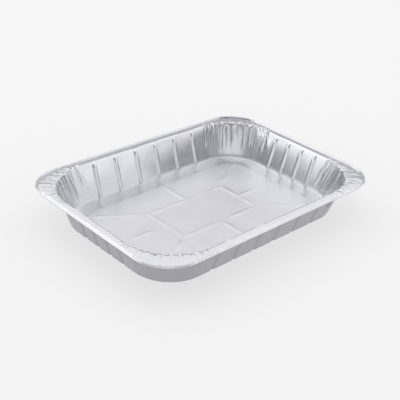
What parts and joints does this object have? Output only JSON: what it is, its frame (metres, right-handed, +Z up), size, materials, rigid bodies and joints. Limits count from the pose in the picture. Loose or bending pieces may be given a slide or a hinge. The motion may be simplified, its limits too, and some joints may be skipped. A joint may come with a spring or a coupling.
{
  "type": "aluminium foil tray",
  "caption": "Shallow rectangular aluminium foil tray with ribbed sloping walls, gathered round corners, a flat flange with a rolled rim and an embossed floor.",
  "frame": {"origin": "under the middle of the floor, on the surface that the tray stands on", "axes": "+Z up out of the open tray, +X along its long side, +Y along its short side"},
  "size_m": [0.32, 0.23, 0.041],
  "materials": {
    "foil": "satin"
  },
  "bodies": {
    "root": {"foil_tray": "foil"}
  },
  "joints": []
}
